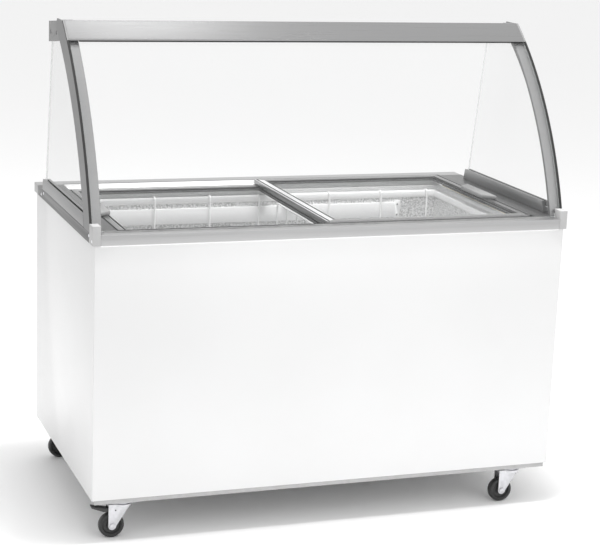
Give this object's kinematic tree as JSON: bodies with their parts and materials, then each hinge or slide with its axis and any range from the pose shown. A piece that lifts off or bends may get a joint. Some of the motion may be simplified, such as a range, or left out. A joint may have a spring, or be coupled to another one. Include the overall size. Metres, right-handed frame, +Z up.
{
  "type": "ice cream display freezer",
  "caption": "Low white chest freezer on casters with sliding glass lids under a curved glass sneeze guard open at the rear.",
  "frame": {"origin": "on the floor under the middle of the cabinet", "axes": "+Z up, -Y towards the customer side with the curved glass, +X to the customer's right"},
  "size_m": [1.262, 0.712, 1.257],
  "materials": {
    "white_sheet": "smooth white powder coat",
    "base_steel": "galvanised, light grey",
    "foam": "rigid polyurethane foam",
    "stucco_aluminium": "stucco embossed",
    "white_plastic": "smooth moulded",
    "white_coated_wire": "plastic coated steel wire",
    "white_rail": "painted aluminium",
    "satin_aluminium": "satin anodised",
    "lid_aluminium": "bright anodised",
    "grey_moulding": "satin grey",
    "bright_screw": "zinc plated",
    "clear_glass": "clear tempered",
    "black_seal": "matt",
    "black_paint": "semi gloss black",
    "motor_steel": "plain steel",
    "copper_tube": "drawn copper",
    "black_plastic": "fine grain",
    "zinc_steel": "bright zinc plate",
    "wheel_rubber": "hard black tyre and hub"
  },
  "bodies": {
    "cabinet": {"front_panel": "white_sheet", "left_side_panel": "white_sheet", "right_side_panel": "white_sheet", "back_panel": "white_sheet", "vent_grille": "white_sheet", "base_pan": "base_steel", "foam_insulation": "foam", "evaporator_tube": "copper_tube", "inner_liner": "stucco_aluminium", "liner_collar": "white_plastic", "front_rail": "satin_aluminium", "rear_rail": "satin_aluminium", "side_rails": "satin_aluminium", "rail_screws": "bright_screw", "post_caps": "grey_moulding", "rear_lid_track": "white_plastic", "front_lid_track": "white_plastic", "left_post": "satin_aluminium", "right_post": "satin_aluminium", "front_glass": "clear_glass", "front_glass_seals": "black_seal", "side_glass_holders": "satin_aluminium", "left_side_glass": "clear_glass", "right_side_glass": "clear_glass", "top_beam": "satin_aluminium", "beam_end_plates": "grey_moulding", "beam_screws": "bright_screw", "wall_guard": "white_rail", "wire_guards": "white_coated_wire", "wire_dividers": "white_coated_wire", "sensor_cover": "white_plastic", "compressor": "black_paint", "compressor_feet": "black_seal", "condenser": "black_paint", "fan_shroud": "black_paint", "fan_motor": "motor_steel", "control_box": "black_plastic", "power_gland": "black_plastic", "caster_plates": "zinc_steel"},
    "left_lid": {"left_lid_frame": "lid_aluminium", "left_lid_glass": "clear_glass", "left_lid_handle": "grey_moulding"},
    "right_lid": {"right_lid_frame": "lid_aluminium", "right_lid_glass": "clear_glass", "right_lid_handle": "grey_moulding"},
    "fan_rotor": {"fan_blade": "black_plastic"},
    "knob": {"control_knob": "black_plastic"},
    "front_left_caster": {"front_left_caster_fork": "zinc_steel", "front_left_axle": "zinc_steel"},
    "front_left_wheel": {"front_left_wheel": "wheel_rubber"},
    "front_right_caster": {"front_right_caster_fork": "zinc_steel", "front_right_axle": "zinc_steel"},
    "front_right_wheel": {"front_right_wheel": "wheel_rubber"},
    "rear_left_caster": {"rear_left_caster_fork": "zinc_steel", "rear_left_axle": "zinc_steel"},
    "rear_left_wheel": {"rear_left_wheel": "wheel_rubber"},
    "rear_right_caster": {"rear_right_caster_fork": "zinc_steel", "rear_right_axle": "zinc_steel"},
    "rear_right_wheel": {"rear_right_wheel": "wheel_rubber"},
    "brake_pedal": {"brake_pedal": "black_plastic"}
  },
  "joints": [
    {"name": "left_lid_slide", "type": "slide", "parent": "cabinet", "child": "left_lid", "axis": [1, 0, 0], "range_m": [0, 0.5]},
    {"name": "right_lid_slide", "type": "slide", "parent": "cabinet", "child": "right_lid", "axis": [1, 0, 0], "range_m": [-0.5, 0]},
    {"name": "fan_spin", "type": "hinge", "parent": "cabinet", "child": "fan_rotor", "pos_m": [0.465, 0.264, 0.206], "axis": [0, 1, 0], "continuous": true},
    {"name": "control_knob_turn", "type": "hinge", "parent": "cabinet", "child": "knob", "pos_m": [0.372, 0.345, 0.372], "axis": [0, 1, 0], "range_deg": [0, 270]},
    {"name": "front_left_swivel", "type": "hinge", "parent": "cabinet", "child": "front_left_caster", "pos_m": [-0.538, -0.31, 0.086], "axis": [0, 0, 1], "continuous": true},
    {"name": "front_left_roll", "type": "hinge", "parent": "front_left_caster", "child": "front_left_wheel", "pos_m": [-0.566, -0.31, 0.0325], "axis": [0, 1, 0], "continuous": true},
    {"name": "front_right_swivel", "type": "hinge", "parent": "cabinet", "child": "front_right_caster", "pos_m": [0.538, -0.31, 0.086], "axis": [0, 0, 1], "continuous": true},
    {"name": "front_right_roll", "type": "hinge", "parent": "front_right_caster", "child": "front_right_wheel", "pos_m": [0.51, -0.31, 0.0325], "axis": [0, 1, 0], "continuous": true},
    {"name": "rear_left_swivel", "type": "hinge", "parent": "cabinet", "child": "rear_left_caster", "pos_m": [-0.538, 0.31, 0.086], "axis": [0, 0, 1], "continuous": true},
    {"name": "rear_left_roll", "type": "hinge", "parent": "rear_left_caster", "child": "rear_left_wheel", "pos_m": [-0.566, 0.31, 0.0325], "axis": [0, 1, 0], "continuous": true},
    {"name": "rear_right_swivel", "type": "hinge", "parent": "cabinet", "child": "rear_right_caster", "pos_m": [0.538, 0.31, 0.086], "axis": [0, 0, 1], "continuous": true},
    {"name": "rear_right_roll", "type": "hinge", "parent": "rear_right_caster", "child": "rear_right_wheel", "pos_m": [0.51, 0.31, 0.0325], "axis": [0, 1, 0], "continuous": true},
    {"name": "brake_pedal_press", "type": "hinge", "parent": "front_left_caster", "child": "brake_pedal", "pos_m": [-0.558, -0.31, 0.074], "axis": [0, 1, 0], "range_deg": [-12, 0]}
  ]
}
